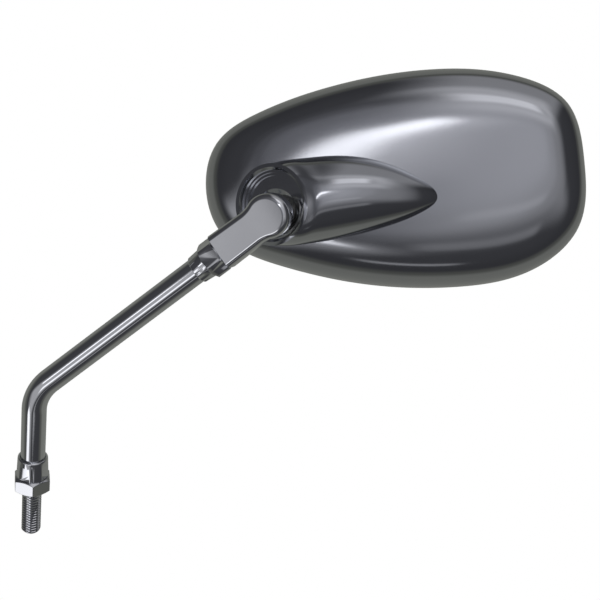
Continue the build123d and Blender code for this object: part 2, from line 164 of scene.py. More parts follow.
def settle(piece, place):
    """Move a piece modelled in millimetres to its place in metres, with its place in its mesh."""
    piece.matrix_world = Matrix.Scale(0.001, 4) @ place
    fix_place(piece)


def change(piece, kind, **settings):
    """Give a piece one modifier with its settings, and apply it."""
    pick(piece)
    modifier = piece.modifiers.new("change", kind)
    for setting, value in settings.items():
        setattr(modifier, setting, value)
    bpy.ops.object.modifier_apply(modifier=modifier.name)


def combine(piece, tool, how):
    """Join, cut or keep the shared part of two closed pieces; the tool is used up."""
    change(piece, "BOOLEAN", operation=how, solver="EXACT", object=tool)
    bpy.data.objects.remove(tool)


def soften(piece, width, angle):
    """Round the real edges of a piece a little, so that they catch the light."""
    change(piece, "BEVEL", width=width, segments=3, limit_method="ANGLE", angle_limit=radians(angle))


def polish(piece, angle):
    """Shade a piece smooth except at edges sharper than the angle."""
    pick(piece)
    bpy.ops.object.shade_smooth_by_angle(angle=radians(angle))


def report(piece):
    """Print how many faces a piece has."""
    print(f"{piece.name}: {len(piece.data.polygons)} faces")


def complete(piece, place, angle):
    """Polish a finished piece, settle it and print its faces."""
    polish(piece, angle)
    settle(piece, place)
    report(piece)


# %% [markdown]
# ## Turned pieces
# The foot, the nuts' chamfers and the ball stud come off a lathe. A lathe piece could be stacked from
# cylinders and cones, but then every step needs its own seam. Here a vertex is pushed along half of the
# section, and the line is spun round the upright, as the tool does it.


# %% Profile line and lathe
def profile_line(name, profile):
    """Draw a line through (radius, height) points by extruding one vertex."""
    piece = fresh(name, bpy.ops.mesh.primitive_plane_add, size=1)
    open_mesh(piece)
    bpy.ops.mesh.merge(type="CENTER")
    spots = [Vector((radius, 0, height)) for radius, height in profile]
    bpy.ops.transform.translate(value=spots[0])
    for before, after in zip(spots, spots[1:]):
        extrude(after - before)
    bpy.ops.object.mode_set(mode="OBJECT")
    return piece


def turned(name, profile, steps=72):
    """Spin a profile line once round the upright axis."""
    piece = profile_line(name, profile)
    open_mesh(piece)
    bpy.ops.mesh.spin(steps=steps, angle=2 * pi, center=(0, 0, 0), axis=(0, 0, 1))
    close_mesh(weld=True)
    return piece


def arc(centre, radius, start, end, count):
    """Points of a round stretch, from one angle to another in radians."""
    x, y = centre
    return [(x + radius * cos(a), y + radius * sin(a)) for a in np.linspace(start, end, count)]


# %% [markdown]
# ## Foot of the stem
# The foot is one turned piece: a tapered sleeve that takes the rod, with four spanner flats, and a threaded
# stud below. The sleeve is spun, and the flats are cut with a box that is turned four times.

# %% Sleeve with spanner flats
stud_r = 4.0
stud_length = 22.0
stud_tip_chamfer = 1.2
thread_core_r = 3.6
thread_overlap = 0.2
foot_nut_height = 6.4
sleeve_height = 9.2
sleeve_bottom_r = 6.5
bottom_chamfer = 0.2
sleeve_top_r = 6.15
lip_round = 0.7
seat_chamfer = 0.25
seat_depth = 7.0
flat_across = 11.9
flat_height = 6.4
flat_turn = -25.7
rod_r = 5.0
rod_play = 0.05
seat_r = rod_r + rod_play
sleeve_top = foot_nut_height + sleeve_height
seat_floor = sleeve_top - seat_depth
lip_centre = (sleeve_top_r - lip_round, sleeve_top - lip_round)

sleeve_profile = [(0, -thread_overlap), (thread_core_r, -thread_overlap), (thread_core_r, foot_nut_height),
                  (sleeve_bottom_r - bottom_chamfer, foot_nut_height),
                  (sleeve_bottom_r, foot_nut_height + bottom_chamfer)]
sleeve_profile += arc(lip_centre, lip_round, 0, pi / 2, 7)
sleeve_profile += [(seat_r + seat_chamfer, sleeve_top), (seat_r, sleeve_top - seat_chamfer),
                   (seat_r, seat_floor), (0, seat_floor)]
foot = turned("stem_foot_dressed", sleeve_profile)
for quarter in range(4):
    way = radians(flat_turn + 90 * quarter)
    flat_cutter = fresh("flat_cutter", bpy.ops.mesh.primitive_cube_add, size=1)
    flat_cutter.scale = (flat_across, 2 * sleeve_bottom_r, flat_height)
    flat_cutter.rotation_euler.z = way
    flat_cutter.location = (flat_across * cos(way), flat_across * sin(way),
                            foot_nut_height + flat_height / 2)
    fix_place(flat_cutter)
    combine(foot, flat_cutter, "DIFFERENCE")
soften(foot, width=0.16, angle=40)
report(foot)

# %% [markdown]
# ## Stud thread
# The stud carries a coarse metric thread. A ring for each turn would look the same from afar, but real
# thread climbs, so one tooth of the section is carried round by a screw modifier and rises by one pitch a
# turn. The helix is then trimmed flat, and a lathe form with a chamfered tip keeps only what the bar had.

# %% Thread on the stud
pitch = 1.25
thread_root_r = 3.36
thread_crest_r = 3.98
tooth_foot = 0.13
tooth_flank = 0.40
tooth_crest = 0.17
thread_turns = 22
thread_steps = 44
thread_start = -stud_length - 2 * pitch
thread_top = 0.3
bar_top = 0.4
bar_r = stud_r + cutter_play
crest_start = tooth_foot + tooth_flank
crest_end = crest_start + tooth_crest
tooth = [(thread_root_r, 0.0), (thread_root_r, tooth_foot), (thread_crest_r, crest_start),
         (thread_crest_r, crest_end), (thread_root_r, crest_end + tooth_flank), (thread_root_r, pitch)]
thread = profile_line("thread", [(radius, thread_start + height) for radius, height in tooth])
change(thread, "SCREW", axis="Z", angle=2 * pi, screw_offset=pitch, iterations=thread_turns,
       steps=thread_steps, render_steps=thread_steps, use_merge_vertices=True,
       merge_threshold=2 * weld_distance)
bpy.ops.object.mode_set(mode="EDIT")
for height, side in ((-stud_length, -1), (thread_top, 1)):
    bpy.ops.mesh.select_all(action="SELECT")
    bpy.ops.mesh.bisect(plane_co=(0, 0, height), plane_no=(0, 0, side), use_fill=True, clear_outer=True)
close_mesh(weld=True)
bar = turned("bar", [(0, -stud_length), (stud_r - stud_tip_chamfer, -stud_length),
                     (bar_r, -stud_length + stud_tip_chamfer), (bar_r, bar_top), (0, bar_top)])
combine(thread, bar, "INTERSECT")
combine(foot, thread, "UNION")
complete(foot, at_foot, angle=38)

# %% [markdown]
# ## Lock nuts
# A nut is a hexagon whose corners are turned off by a cone at both ends, which leaves the curved edge seen
# on every real nut. Bevelling the corners gives flat triangles instead, so the hexagon is met with a turned
# double cone. Weighted normals keep its large faces flat in the light.


# %% Hexagon blank and finished nut
nut_face_inset = 0.45
nut_chamfer_angle = 30
nut_corner_angle = 30


def hexagon_blank(name, across, height, start, turn_angle):
    """Hexagon with its corners turned off at both ends, standing on a height."""
    corner_r = across / sqrt(3)
    face_r = across / 2 - nut_face_inset
    wide_r = corner_r + cutter_play
    over = overcut / 2
    slope = tan(radians(nut_chamfer_angle))
    drop = (wide_r - face_r) * slope
    narrow_r = face_r - over / slope
    blank = fresh(name, bpy.ops.mesh.primitive_cylinder_add, vertices=6, radius=corner_r, depth=height)
    blank.rotation_euler.z = radians(nut_corner_angle + turn_angle)
    blank.location.z = start + height / 2
    fix_place(blank)
    top = start + height
    cone = turned("cone", [(0, start - over), (narrow_r, start - over), (wide_r, start + drop),
                           (wide_r, top - drop), (narrow_r, top + over), (0, top + over)], steps=96)
    combine(blank, cone, "INTERSECT")
    return blank


def finish_nut(nut, bore_profile, place):
    """Bore a nut, break its edges, keep its large faces flat in the light and settle it."""
    combine(nut, turned("bore", bore_profile), "DIFFERENCE")
    soften(nut, width=0.14, angle=25)
    polish(nut, angle=30)
    change(nut, "WEIGHTED_NORMAL", weight=100, keep_sharp=True)
    settle(nut, place)
    report(nut)


# %% [markdown]
# ## Nut on the stud
# The lower nut locks the mirror in its bracket. Its tapped hole starts with a countersink, which a turned
# cutter with a wide start gives at its width and depth directly.

# %% Nut on the stud
foot_nut_across = 14.0
foot_nut_turn = 38.3
nut_play = 0.05
countersink_width = 0.9
countersink_depth = 0.7
countersink_lead = 0.01
bore_r = thread_core_r + nut_play
sink_r = bore_r + countersink_width
bore_top = foot_nut_height + overcut
foot_nut = hexagon_blank("foot_nut_dressed", foot_nut_across, foot_nut_height, 0.0, foot_nut_turn)
finish_nut(foot_nut, [(0, -overcut), (sink_r, -overcut), (sink_r, -countersink_lead),
                      (bore_r, countersink_depth), (bore_r, bore_top), (0, bore_top)], at_foot)

# %% [markdown]
# ## Nut under the knuckle
# The upper nut has a conical skirt. It could be turned as one bar with six cuts, but hexagon and skirt that
# are joined keep the hexagon's edges clean.

# %% Nut under the knuckle
neck_nut_across = 13.0
skirt_r = 5.6
neck_nut_turn = 22.0
skirt_chamfer = 0.3
skirt_cone_gap = 0.2
skirt_overlap = 0.3
rod_tip_r = 4.0
skirt_top_r = neck_nut_across / 2 - nut_face_inset
skirt_end = skirt_height + skirt_overlap
bore_r = rod_tip_r + rod_play
bore_top = neck_nut_height + overcut
neck_nut = hexagon_blank("knuckle_nut_dressed", neck_nut_across, neck_nut_hex, skirt_height,
                         neck_nut_turn)
skirt = turned("skirt", [(0, 0), (skirt_r - skirt_chamfer, 0), (skirt_r, skirt_chamfer),
                         (skirt_top_r, skirt_height - skirt_cone_gap), (skirt_top_r, skirt_end),
                         (0, skirt_end)])
combine(neck_nut, skirt, "UNION")
finish_nut(neck_nut, [(0, -overcut), (bore_r, -overcut), (bore_r, bore_top), (0, bore_top)], at_shoulder)

# %% [markdown]
# ## Bent rod
# A bar of round steel with one bend. A bevelled curve would do, but a ring that is extruded up, spun
# through the bend and extruded on keeps its section round and its faces even, which the long reflections
# need.

# %% Rod
rod_bend_radius = 20.0
rod_tip_length = 24.0
rod_tip_chamfer = 0.8
rod_tip_end_share = 0.8
rod_sides = 72
bend_steps = 28
bend_cut = rod_bend_radius * tan(radians(rod_bend_angle / 2))
bend_start = rod_corner_height - bend_cut
tip_share = rod_tip_r / rod_r
rod = fresh("stem_rod_dressed", bpy.ops.mesh.primitive_circle_add, vertices=rod_sides, radius=rod_r,
            fill_type="NOTHING")
open_mesh(rod)
bpy.ops.transform.translate(value=(0, 0, seat_floor))
extrude((0, 0, bend_start - seat_floor))
bpy.ops.mesh.spin(steps=bend_steps, angle=radians(-rod_bend_angle), center=(rod_bend_radius, 0, bend_start),
                  axis=(0, 1, 0))
extrude(rod_dir * (rod_shoulder_run - bend_cut))
extrude((0, 0, 0))
bpy.ops.transform.resize(value=3 * (tip_share,), center_override=shoulder)
extrude(rod_dir * (rod_tip_length - rod_tip_chamfer))
extrude(rod_dir * rod_tip_chamfer)
tip_end = shoulder + rod_dir * rod_tip_length
bpy.ops.transform.resize(value=3 * (rod_tip_end_share,), center_override=tip_end)
pick_open_edges()
bpy.ops.mesh.edge_face_add()
close_mesh(weld=True)
complete(rod, at_foot, angle=30)

# %% [markdown]
# ## Forms made of rings
# The knuckle, the head, its glass and its gasket all follow an outline that changes from level to level. A
# circle that is extruded once for each level gives clean rows of four-sided faces. While it is still a
# straight tube, a vertex's height tells its level and its angle tells its number, and so each one can be
# sent to its own spot.


# %% Ring stack
def ring_stack(name, rings, closed=False):
    """Tube through rings of points, capped at both ends, or closed into a loop."""
    count = len(rings[0])
    piece = fresh(name, bpy.ops.mesh.primitive_circle_add, vertices=count, radius=1, fill_type="NOTHING")
    open_mesh(piece)
    for _ in rings[1:]:
        extrude((0, 0, 1))
    pick_open_edges()
    if closed:
        bpy.ops.mesh.bridge_edge_loops()
    else:
        bpy.ops.mesh.edge_face_add()
    bpy.ops.object.mode_set(mode="OBJECT")
    for vertex in piece.data.vertices:
        number = round(atan2(vertex.co.y, vertex.co.x) / (2 * pi) * count) % count
        vertex.co = rings[round(vertex.co.z)][number]
    open_mesh(piece)
    close_mesh()
    return piece


def level_ring(loop, height):
    """An outline laid flat at a height."""
    return [(x, y, height) for x, y in loop]


def run_lengths(points):
    """Length of a line of points up to each of them."""
    return np.concatenate([[0], np.cumsum(np.linalg.norm(np.diff(points, axis=0), axis=1))])


def smooth_run(points, places):
    """Points on a smooth open curve through the given ones; places run from 0 to 1."""
    points = np.array(points, float)
    knots = run_lengths(points)
    gaps = np.diff(knots)
    count = len(points)
    left, right = np.eye(count), np.zeros_like(points)
    for i in range(1, count - 1):
        left[i, i - 1:i + 2] = gaps[i - 1], 2 * (gaps[i - 1] + gaps[i]), gaps[i]
        right[i] = 6 * ((points[i + 1] - points[i]) / gaps[i] - (points[i] - points[i - 1]) / gaps[i - 1])
    bend = np.linalg.solve(left, right)
    run = []
    for place in places:
        t = place * knots[-1]
        i = min(max(np.searchsorted(knots, t) - 1, 0), count - 2)
        a, b, gap = knots[i + 1] - t, t - knots[i], gaps[i]
        start = points[i] / gap - bend[i] * gap / 6
        end = points[i + 1] / gap - bend[i + 1] * gap / 6
        run.append((bend[i] * a**3 + bend[i + 1] * b**3) / (6 * gap) + start * a + end * b)
    return np.array(run)


def smooth_loop(points, count):
    """Points on a smooth closed curve through the given ones, spread evenly along it."""
    wrap, fine_count = 4, 2001
    wide = points[-wrap:] + points + points[:wrap + 1]
    knots = run_lengths(wide) / run_lengths(wide)[-1]
    fine = smooth_run(wide, np.linspace(knots[wrap], knots[wrap + len(points)], fine_count))
    along = run_lengths(fine)
    spread = np.interp(np.arange(count) / count * along[-1], along, np.arange(len(along)))
    low = np.floor(spread).astype(int)
    return fine[low] + (fine[low + 1] - fine[low]) * (spread - low)[:, None]


def drawn_in(loop, inset):
    """A closed outline moved inwards by a distance."""
    along = np.roll(loop, -1, axis=0) - np.roll(loop, 1, axis=0)
    along /= np.linalg.norm(along, axis=1)[:, None]
    return loop + np.column_stack([-along[:, 1], along[:, 0]]) * inset


# %% [markdown]
# ## Knuckle
# The knuckle is a cast elbow: a flat-topped bar with a round end, rounded more softly below than above. A
# bevel on a block gives the same edge all round, so the outline is stacked level by level along the two
# roundings, and the bar is made too long and cut off square just short of the nut.

# %% Knuckle
end_width = 14.6
waist_width = 13.6
round_end_r = 8.6
knuckle_half = 6.0
top_round = 2.4
under_round = 4.2
waist_round = 12.0
end_gap = 0.03
overrun = 8.0
side_slope = (end_width - waist_width) / 2 / knuckle_length
fillet_y = waist_width / 2 + waist_round + round_end_r * side_slope
fillet_x = -sqrt((round_end_r + waist_round) ** 2 - fillet_y**2)
meet_angle = atan2(fillet_y, fillet_x)
tail_x = -knuckle_length - overrun
tail_y = waist_width / 2 - tail_x * side_slope
round_end = arc((0, 0), round_end_r, -meet_angle, meet_angle, 60)
waist = arc((fillet_x, fillet_y), waist_round, meet_angle + pi, 1.5 * pi, 14)[1:]
waist_x, waist_y = waist[-1]
flank = [(waist_x + (tail_x - waist_x) * s, waist_y + (tail_y - waist_y) * s)
         for s in np.linspace(0, 1, 9)[1:]]
tail = [(tail_x, tail_y / 3), (tail_x, -tail_y / 3)]
mirrored = [(x, -y) for x, y in reversed(waist + flank)]
plan = np.array(round_end + waist + flank + tail + mirrored)
top_centre = (top_round, knuckle_half - top_round)
under_centre = (under_round, under_round - knuckle_half)
levels = arc(top_centre, top_round, pi / 2, pi, 13)
levels += arc(under_centre, under_round, pi, 1.5 * pi, 13)
rings = [level_ring(drawn_in(plan, inset), height) for inset, height in levels]
knuckle = ring_stack("knuckle_dressed", rings)
open_mesh(knuckle)
bpy.ops.mesh.bisect(plane_co=(end_gap - knuckle_length, 0, 0), plane_no=(-1, 0, 0), use_fill=True,
                    clear_outer=True)
bpy.ops.object.mode_set(mode="OBJECT")
complete(knuckle, at_knuckle, angle=32)

# %% [markdown]
# ## Ball stud
# A turned pin with a flange under the knuckle, a waisted neck and a ball that the head sits on. The neck
# flows out of the ball, so all of it is one profile.

# %% Ball stud
ball_r = 7.0
neck_r = 3.9
neck_root_flare = 0.1
neck_root_rise = 0.5
neck_top_r = 4.7
neck_fillet = 0.4
flange_r = 6.6
flange_thickness = 1.6
flange_chamfer = 0.3
pin_r = 3.5
pin_length = 7.4
under_knuckle = ball_reach - knuckle_half
flange_low = under_knuckle - flange_thickness
pin_end = under_knuckle + pin_length
ball_arc = arc((0, 0), ball_r, -pi / 2, acos(neck_r / ball_r), 40)
ball_arc[0] = (0, -ball_r)
ball_stud = turned("ball_stud_dressed", ball_arc + [
    (neck_r + neck_root_flare, ball_arc[-1][1] + neck_root_rise), (neck_top_r, flange_low - neck_fillet),
    (neck_top_r + neck_fillet, flange_low), (flange_r - flange_chamfer, flange_low),
    (flange_r, flange_low + flange_chamfer), (flange_r, under_knuckle), (pin_r, under_knuckle),
    (pin_r, pin_end), (0, pin_end)])
complete(ball_stud, at_neck, angle=35)

# %% [markdown]
# ## Rim outline of the head
# Seen from its bright back the head is an egg, broad at its outer end. Joined arcs would show as kinks in
# chrome, so fourteen points carry the egg, each measured from the ball in millimetres, and a smooth closed
# curve runs through them.

# %% Rim outline
rim_points = 192
egg = [(63.9, 52.95), (20.35, 49.2), (-7.5, 41.5), (-24.0, 31.6), (-30.0, 15.1), (-24.6, -6.2),
       (-3.1, -19.9), (31.9, -30.7), (68.25, -34.7), (100.2, -29.6), (116.6, -16.35), (121.4, 10.2),
       (116.1, 35.3), (98.1, 47.0)]
rim_loop = smooth_loop(egg, rim_points)
span = rim_loop.max(axis=0) - rim_loop.min(axis=0)
print("head outline:", span.round(1), "mm")

# %% [markdown]
# ## Dome of the head
# The bright back is a moulded dome: a side wall that leans in more and more, a crown that is part of a
# large ball, and a soft ridge between them. A bevel can't reach across many faces, so along each line from
# the crown's pole to the rim the lower of wall and crown is taken, blended where they meet, and the points
# of all those sections make the rings. The wall's points are shares of the crown's height and of the way to
# the rim.

# %% Dome
crown_height = 25.7
crown_radius = 900.0
crown_pole = np.array([98.0, 18.0])
ridge_blend = 1.6
wall_profile = [(0, 1.0), (0.3, 0.985), (0.58, 0.925), (0.78, 0.81), (0.92, 0.60), (1.06, 0.2)]
wall_rises, wall_reaches = smooth_run(wall_profile, np.linspace(0, 1, 400)).T
foot_share = 0.5
crown_share = 0.3
pole_share = 0.02
foot_rises = np.linspace(0, foot_share, 8)[:-1]
foot_reach = np.interp(foot_share, wall_rises, wall_reaches)
top_reaches = np.concatenate([np.linspace(foot_reach, crown_share, 34),
                              np.linspace(crown_share, pole_share, 8)[1:]])


def dome_section(rho, inset):
    """Section of the dome from the rim to the pole, as (distance, height) points."""
    top = crown_height - inset
    section = [(rho * np.interp(rise, wall_rises, wall_reaches), rise * top) for rise in foot_rises]
    for reach in top_reaches:
        wall = top * np.interp(-reach, -wall_reaches, wall_rises)
        crown = top - crown_radius + sqrt(crown_radius**2 - (rho * reach) ** 2)
        blend = max(ridge_blend - abs(wall - crown), 0) / ridge_blend
        section.append((rho * reach, min(wall, crown) - blend**2 * ridge_blend / 4))
    return section


def dome(name, inset):
    """Closed dome over the rim outline drawn in by an inset."""
    sections = []
    for spot in drawn_in(rim_loop, inset):
        away = spot - crown_pole
        rho = np.linalg.norm(away)
        sections.append([(*(crown_pole + away / rho * distance), height)
                         for distance, height in dome_section(rho, inset)])
    return ring_stack(name, list(zip(*sections)))


head = dome("housing_dressed", 0.0)
report(head)

# %% [markdown]
# ## Fairing and mouth
# A comet-shaped fairing runs out of the dome and ends in the mouth, where the knuckle's neck goes in. It is
# a tube of round sections that leans over at the mouth and dives under the dome at its tail. Each section
# is given by its crest, its keel and its shift to the side, counted from the mouth, and smooth curves
# through them give as many sections as the metal needs. A bevelled curve couldn't lean its sections like
# that.

# %% Fairing
mouth_r = 15.8
mouth_height = 8.5
mouth_rise = 3.0
fairing_sides = 96
fairing_steps = 60
mouth_sin, mouth_cos = sin(radians(mouth_lean)), cos(radians(mouth_lean))
crest_x = mouth_r * mouth_cos - mouth_height * mouth_sin
crest_z = mouth_r * mouth_sin + mouth_height * mouth_cos
keel_x = -mouth_r * mouth_cos - mouth_height * mouth_sin
keel_z = -mouth_r * mouth_sin + mouth_height * mouth_cos
mouth_section = np.array([crest_x, crest_z, keel_x, keel_z, mouth_rise])
upright_section = np.array([crest_x, crest_z, crest_x, crest_z, mouth_rise])
fairing_sections = [mouth_section + shift for shift in (
    (0.0, 0.0, 0.0, 0.0, 0.0), (3.0, 0.8, 9.0, -8.8, 0.3), (6.6, 1.0, 22.5, -14.6, 0.7))]
fairing_sections += [upright_section + shift for shift in (
    (25.3, -1.2, 25.3, -29.2, 1.0), (39.9, -6.0, 39.9, -24.2, -0.4),
    (49.6, -11.4, 49.6, -19.6, -1.8), (53.5, -14.8, 53.5, -18.8, -2.5))]


def fairing(name, sections, inset, steps):
    """Tube of round sections between crests and keels, over the rim plane."""
    rings = []
    for top_x, top_z, low_x, low_z, rise in smooth_run(sections, np.linspace(0, 1, steps)):
        across = np.array([top_x - low_x, 0, top_z - low_z])
        radius = np.linalg.norm(across) / 2 - inset
        middle = np.array([(top_x + low_x) / 2, rise, (top_z + low_z) / 2 + rim_depth])
        up = across / np.linalg.norm(across)
        rings.append([middle + radius * (up * cos(a) + np.array([0, 1, 0]) * sin(a))
                      for a in np.linspace(0, 2 * pi, fairing_sides, endpoint=False)])
    return ring_stack(name, rings)


combine(head, fairing("fairing", fairing_sections, 0.0, fairing_steps), "UNION")
report(head)

# %% [markdown]
# ## Inside of the housing
# The housing is a thin moulding. A solidify modifier would push the mouth's edge through itself, so a
# smaller dome is cut away instead, with a pocket for the glass. Then the guide tube of the ball joint and
# the screw posts are put back, each kept inside the outer form.

# %% Hollow, guide tube and posts
shell_wall = 2.3
rim_wall = 1.6
rim_pocket_depth = 5.6
boss_r = 3.2
post_sides = 48
holder_circle_r = 14.6
holder_turn = 60
guide_outer_r = 11.75
guide_below_ball = 8.95
holder_below_ball = 12.05
guide_low = rim_depth - guide_below_ball
holder_low = rim_depth - holder_below_ball
backing_low = 5.2
backing_spots = [(34, 34), (96, 27), (96, -17), (40, -19)]
core = dome("core", shell_wall / 2)
combine(core, fairing("core_fairing", fairing_sections, shell_wall / 2, fairing_steps), "UNION")

hollow = dome("hollow", shell_wall)
combine(hollow, fairing("hollow_fairing", fairing_sections[2:5], shell_wall, fairing_steps // 2), "UNION")
pocket_loop = drawn_in(rim_loop, rim_wall)
pocket = ring_stack("pocket", [level_ring(pocket_loop, height) for height in (-overcut, rim_pocket_depth)])
combine(head, hollow, "DIFFERENCE")
combine(head, pocket, "DIFFERENCE")


def post(x, y, radius, low, high):
    """Upright round post over the rim plane."""
    piece = fresh("post", bpy.ops.mesh.primitive_cylinder_add, vertices=post_sides, radius=radius,
                  depth=high - low, location=(x, y, (low + high) / 2))
    fix_place(piece)
    return piece


posts = post(0, 0, guide_outer_r, guide_low, rim_depth)
for third in range(3):
    way = radians(holder_turn + 120 * third)
    spot = (holder_circle_r * cos(way), holder_circle_r * sin(way))
    combine(posts, post(*spot, boss_r, holder_low, rim_depth), "UNION")
for x, y in backing_spots:
    combine(posts, post(x, y, boss_r, backing_low, crown_height), "UNION")
combine(posts, core, "INTERSECT")
combine(head, posts, "UNION")
report(head)

# %% [markdown]
# ## Mouth and ball socket
# The mouth is cut straight down the neck's middle direction: a chamfered lip, a short bore, two small steps
# and a cone that lets the neck swing. One turned cutter makes lip, bore and steps together, a second one
# the cone, and a ball and a bore behind leave room for the joint.

# %% Mouth
mouth_bore_r = 13.4
mouth_bore_depth = 3.2
mouth_rim_chamfer = 1.0
mouth_steps = 2
mouth_step_width = 1.1
mouth_step_height = 0.7
lip_lead = 0.8
neck_hole_half_angle = 60
neck_hole_overlap = 0.3
bore_floor = mouth_height - mouth_bore_depth
stairs = [(0, bore_floor)]
for step in range(mouth_steps):
    tread_r = mouth_bore_r - (mouth_steps - step) * mouth_step_width
    tread = bore_floor + step * mouth_step_height
    stairs += [(tread_r, tread), (tread_r, tread + mouth_step_height)]
lip_r = mouth_bore_r + mouth_rim_chamfer
lip_top = mouth_height + lip_lead
stairs += [(mouth_bore_r, bore_floor + mouth_steps * mouth_step_height),
           (mouth_bore_r, mouth_height - mouth_rim_chamfer), (lip_r, mouth_height),
           (lip_r + lip_lead, lip_top), (0, lip_top)]
to_rim = at_rim.inverted() @ at_mouth
mouth_cutter = turned("mouth_cutter", stairs, steps=128)
mouth_cutter.matrix_world = Matrix.Translation((0, mouth_rise, 0)) @ to_rim
hole_r = bore_floor * tan(radians(neck_hole_half_angle))
hole_top = bore_floor + neck_hole_overlap
neck_hole = turned("neck_hole", [(0, 0), (hole_r, bore_floor), (hole_r, hole_top), (0, hole_top)], steps=96)
neck_hole.matrix_world = to_rim
for cutter in (mouth_cutter, neck_hole):
    fix_place(cutter)
    combine(head, cutter, "DIFFERENCE")
report(head)

# %% Ball socket
socket_r = 8.25
guide_r = 9.75
guide_lead = 0.1
cup_top = -4.585
guide_start, guide_end = holder_low - guide_lead, rim_depth + cup_top
ball_room = arc((0, rim_depth), socket_r, -pi / 2, pi / 2, 41)
ball_room[0], ball_room[-1] = (0, rim_depth - socket_r), (0, rim_depth + socket_r)
socket = turned("socket", ball_room, steps=96)
guide = turned("guide", [(0, guide_start), (guide_r, guide_start), (guide_r, guide_end), (0, guide_end)],
               steps=96)
combine(socket, guide, "UNION")
combine(head, socket, "DIFFERENCE")
complete(head, at_rim, angle=24)

# %% [markdown]
# ## Mirror glass
# The glass is slightly convex, so that it shows more of the road, and its edge is ground. A plain plate
# would be flat, so it is stacked from rings that shrink towards its middle and follow a large ball.

# %% Glass
reach_outer, reach_inner = 123.0, 30.0
reach_top, reach_bottom = 54.0, 34.6
gasket_wall = 1.6
glass_radius = 1400.0
glass_thickness = 2.0
glass_edge_depth = 1.6
front_ground = 0.35
back_ground = 0.3
glass_inset = rim_wall + gasket_wall
glass_middle = np.array([(reach_outer - reach_inner) / 2, (reach_top - reach_bottom) / 2])
glass_half_length = (reach_outer + reach_inner) / 2 - glass_inset
glass_face = glass_edge_depth - glass_half_length**2 / (2 * glass_radius)


def bowed_ring(loop, depth):
    """An outline laid on a bowed face that lies a depth behind the glass's front."""
    runs = ((loop - glass_middle) ** 2).sum(axis=1)
    heights = glass_face + glass_radius - np.sqrt((glass_radius - depth) ** 2 - runs)
    return np.column_stack([loop, heights])


glass_loop = drawn_in(rim_loop, glass_inset)
inner_shares = np.linspace(0.04, 0.97, 16)
inner_loops = [glass_middle + (glass_loop - glass_middle) * share for share in inner_shares]
front = [bowed_ring(loop, 0.0) for loop in inner_loops]
edge = [bowed_ring(drawn_in(rim_loop, inset), depth) for inset, depth in (
    (glass_inset + front_ground, 0.0), (glass_inset, front_ground),
    (glass_inset, glass_thickness - back_ground), (glass_inset + back_ground, glass_thickness))]
back = [bowed_ring(loop, glass_thickness) for loop in reversed(inner_loops)]
glass = ring_stack("mirror_glass_dressed", front + edge + back)
complete(glass, at_rim, angle=25)

# %% [markdown]
# ## Gasket
# The gasket is a rubber channel round the glass's edge. Its section isn't round, so instead of a bevelled
# curve it is a closed loop of rings with soft corners. Each point of the section is an inset from the rim
# and a depth behind the glass's front.

# %% Gasket
gasket_lip = 2.4
gasket_play = 0.1
groove_overlap = 0.05
outer = rim_wall + gasket_play
inner = glass_inset + gasket_lip
groove = glass_inset - groove_overlap
gasket_section = [
    (outer, 1.0), (outer, -0.3), (outer + 0.3, -0.7), (outer + 0.9, -0.88), (inner - 1.0, -0.9),
    (inner - 0.3, -0.75), (inner, -0.35), (inner, -0.02), (glass_inset + 0.4, -0.02), (groove, 0.3),
    (groove, 2.0), (inner, 2.02), (inner, 2.88), (outer + 0.4, 2.88), (outer, 2.5)]
rings = [bowed_ring(drawn_in(rim_loop, inset), depth) for inset, depth in gasket_section]
gasket = ring_stack("rim_gasket_dressed", rings, closed=True)
complete(gasket, at_rim, angle=50)

# %% [markdown]
# ## Finishes
# Two effects return in most finishes. Plating is never quite even: its gloss drifts, and its surface has a
# faint ripple from polishing. Moulded rubber and plastic have a fine grain. Each effect is built once as a
# node group that reads the piece's own coordinates, and each finish sets its own values.


# %% Node tools and effect groups
def feed(tree, node, inputs):
    """Set inputs of a node, each to a value or to another node's output."""
    for socket, value in inputs.items():
        if isinstance(value, bpy.types.NodeSocket):
            tree.links.new(value, node.inputs[socket])
        else:
            node.inputs[socket].default_value = value


def add_node(tree, kind, inputs, **settings):
    """Node of a kind with its settings and its inputs."""
    node = tree.nodes.new("ShaderNode" + kind)
    for setting, value in settings.items():
        setattr(node, setting, value)
    feed(tree, node, inputs)
    return node


def new_group(name, sockets):
    """Node group, the outputs of its entry, and its exit; a row of sockets is way, kind and labels."""
    group = bpy.data.node_groups.new(name, "ShaderNodeTree")
    for way, kind, *labels in sockets:
        for label in labels:
            group.interface.new_socket(label, in_out=way, socket_type="NodeSocket" + kind)
    return group, group.nodes.new("NodeGroupInput").outputs, group.nodes.new("NodeGroupOutput")


def effect_group(name, grain_kind):
    """Node group in which clouds drive the colour and the gloss, and a finer pattern the height."""
    group, entry, leave = new_group(name, [
        ("INPUT", "Color", "Dark Colour", "Light Colour"),
        ("INPUT", "Float", "Cloud Scale", "Grain Scale", "Low Roughness", "High Roughness"),
        ("OUTPUT", "Color", "Colour"), ("OUTPUT", "Float", "Roughness", "Height")])
    spot = add_node(group, "TexCoord", {}).outputs["Object"]
    clouds = add_node(group, "TexNoise", {"Vector": spot, "Scale": entry["Cloud Scale"], "Detail": 4.0})
    cloud = clouds.outputs[0]
    grain = add_node(group, grain_kind, {"Vector": spot, "Scale": entry["Grain Scale"]})
    gloss = add_node(group, "MapRange", {
        "Value": cloud, "From Min": 0.3, "From Max": 0.7, "To Min": entry["Low Roughness"],
        "To Max": entry["High Roughness"]})
    blend = add_node(group, "Mix", {"Factor": cloud, "A": entry["Dark Colour"], "B": entry["Light Colour"]},
                     data_type="RGBA")
    feed(group, leave, {"Colour": blend.outputs["Result"], "Roughness": gloss.outputs["Result"],
                        "Height": grain.outputs[0]})
    return group


